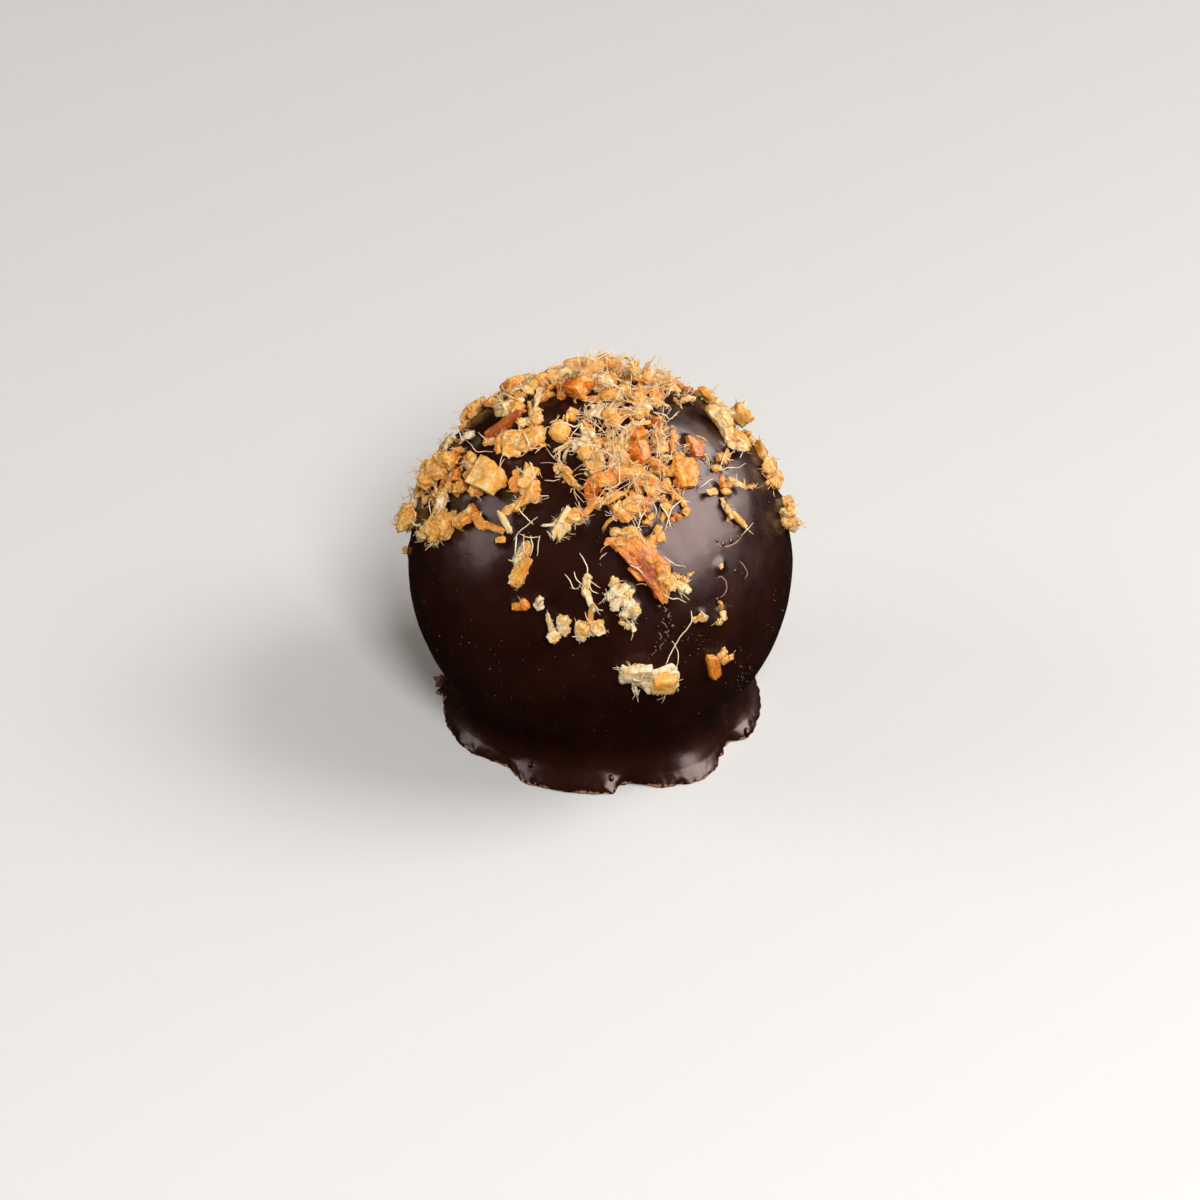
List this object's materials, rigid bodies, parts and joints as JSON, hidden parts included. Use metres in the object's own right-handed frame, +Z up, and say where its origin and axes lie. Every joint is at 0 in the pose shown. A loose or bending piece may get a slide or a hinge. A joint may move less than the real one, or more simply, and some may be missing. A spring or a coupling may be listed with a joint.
{
  "type": "chocolate truffle",
  "caption": "Round dark chocolate truffle on a thin uneven foot of set chocolate, its crown strewn with chopped candied ginger.",
  "frame": {"origin": "on the floor under the middle of the ball, in the middle of the flat base", "axes": "+Z up, -Y towards the side that the picture shows, +X to that side's right"},
  "size_m": [0.0327, 0.0321, 0.0306],
  "materials": {
    "chocolate": "satin dark chocolate, fine grain, pale dust",
    "ginger_amber": "translucent amber candied ginger, moist and fibrous",
    "ginger_cream": "pale cream candied ginger, dry and fibrous",
    "ginger_golden": "golden candied ginger, half translucent",
    "ginger_tan": "tan candied ginger, rough and fibrous"
  },
  "bodies": {
    "root": {"ginger_amber_slab": "ginger_amber", "ginger_amber_top": "ginger_amber", "ginger_back_flake": "ginger_tan", "ginger_back_left": "ginger_golden", "ginger_back_nugget": "ginger_cream", "ginger_back_right": "ginger_golden", "ginger_back_slab": "ginger_amber", "ginger_brown_oval": "ginger_golden", "ginger_cream_block": "ginger_cream", "ginger_cream_slab": "ginger_cream", "ginger_crown_back": "ginger_golden", "ginger_crown_front": "ginger_golden", "ginger_crown_top": "ginger_golden", "ginger_fork_body": "ginger_golden", "ginger_hanging_shred": "ginger_tan", "ginger_knobbly": "ginger_cream", "ginger_left_curl": "ginger_tan", "ginger_left_oval": "ginger_tan", "ginger_long_slab": "ginger_amber", "ginger_low_chunk": "ginger_tan", "ginger_pair_left": "ginger_cream", "ginger_pair_right": "ginger_cream", "ginger_rim_long": "ginger_cream", "ginger_rim_lower": "ginger_cream", "ginger_rim_upper": "ginger_golden", "ginger_round_nugget": "ginger_cream", "ginger_tan_flake": "ginger_tan", "ginger_upright_bit": "ginger_golden", "ginger_yellow_cube": "ginger_golden", "truffle": "chocolate"}
  },
  "joints": []
}
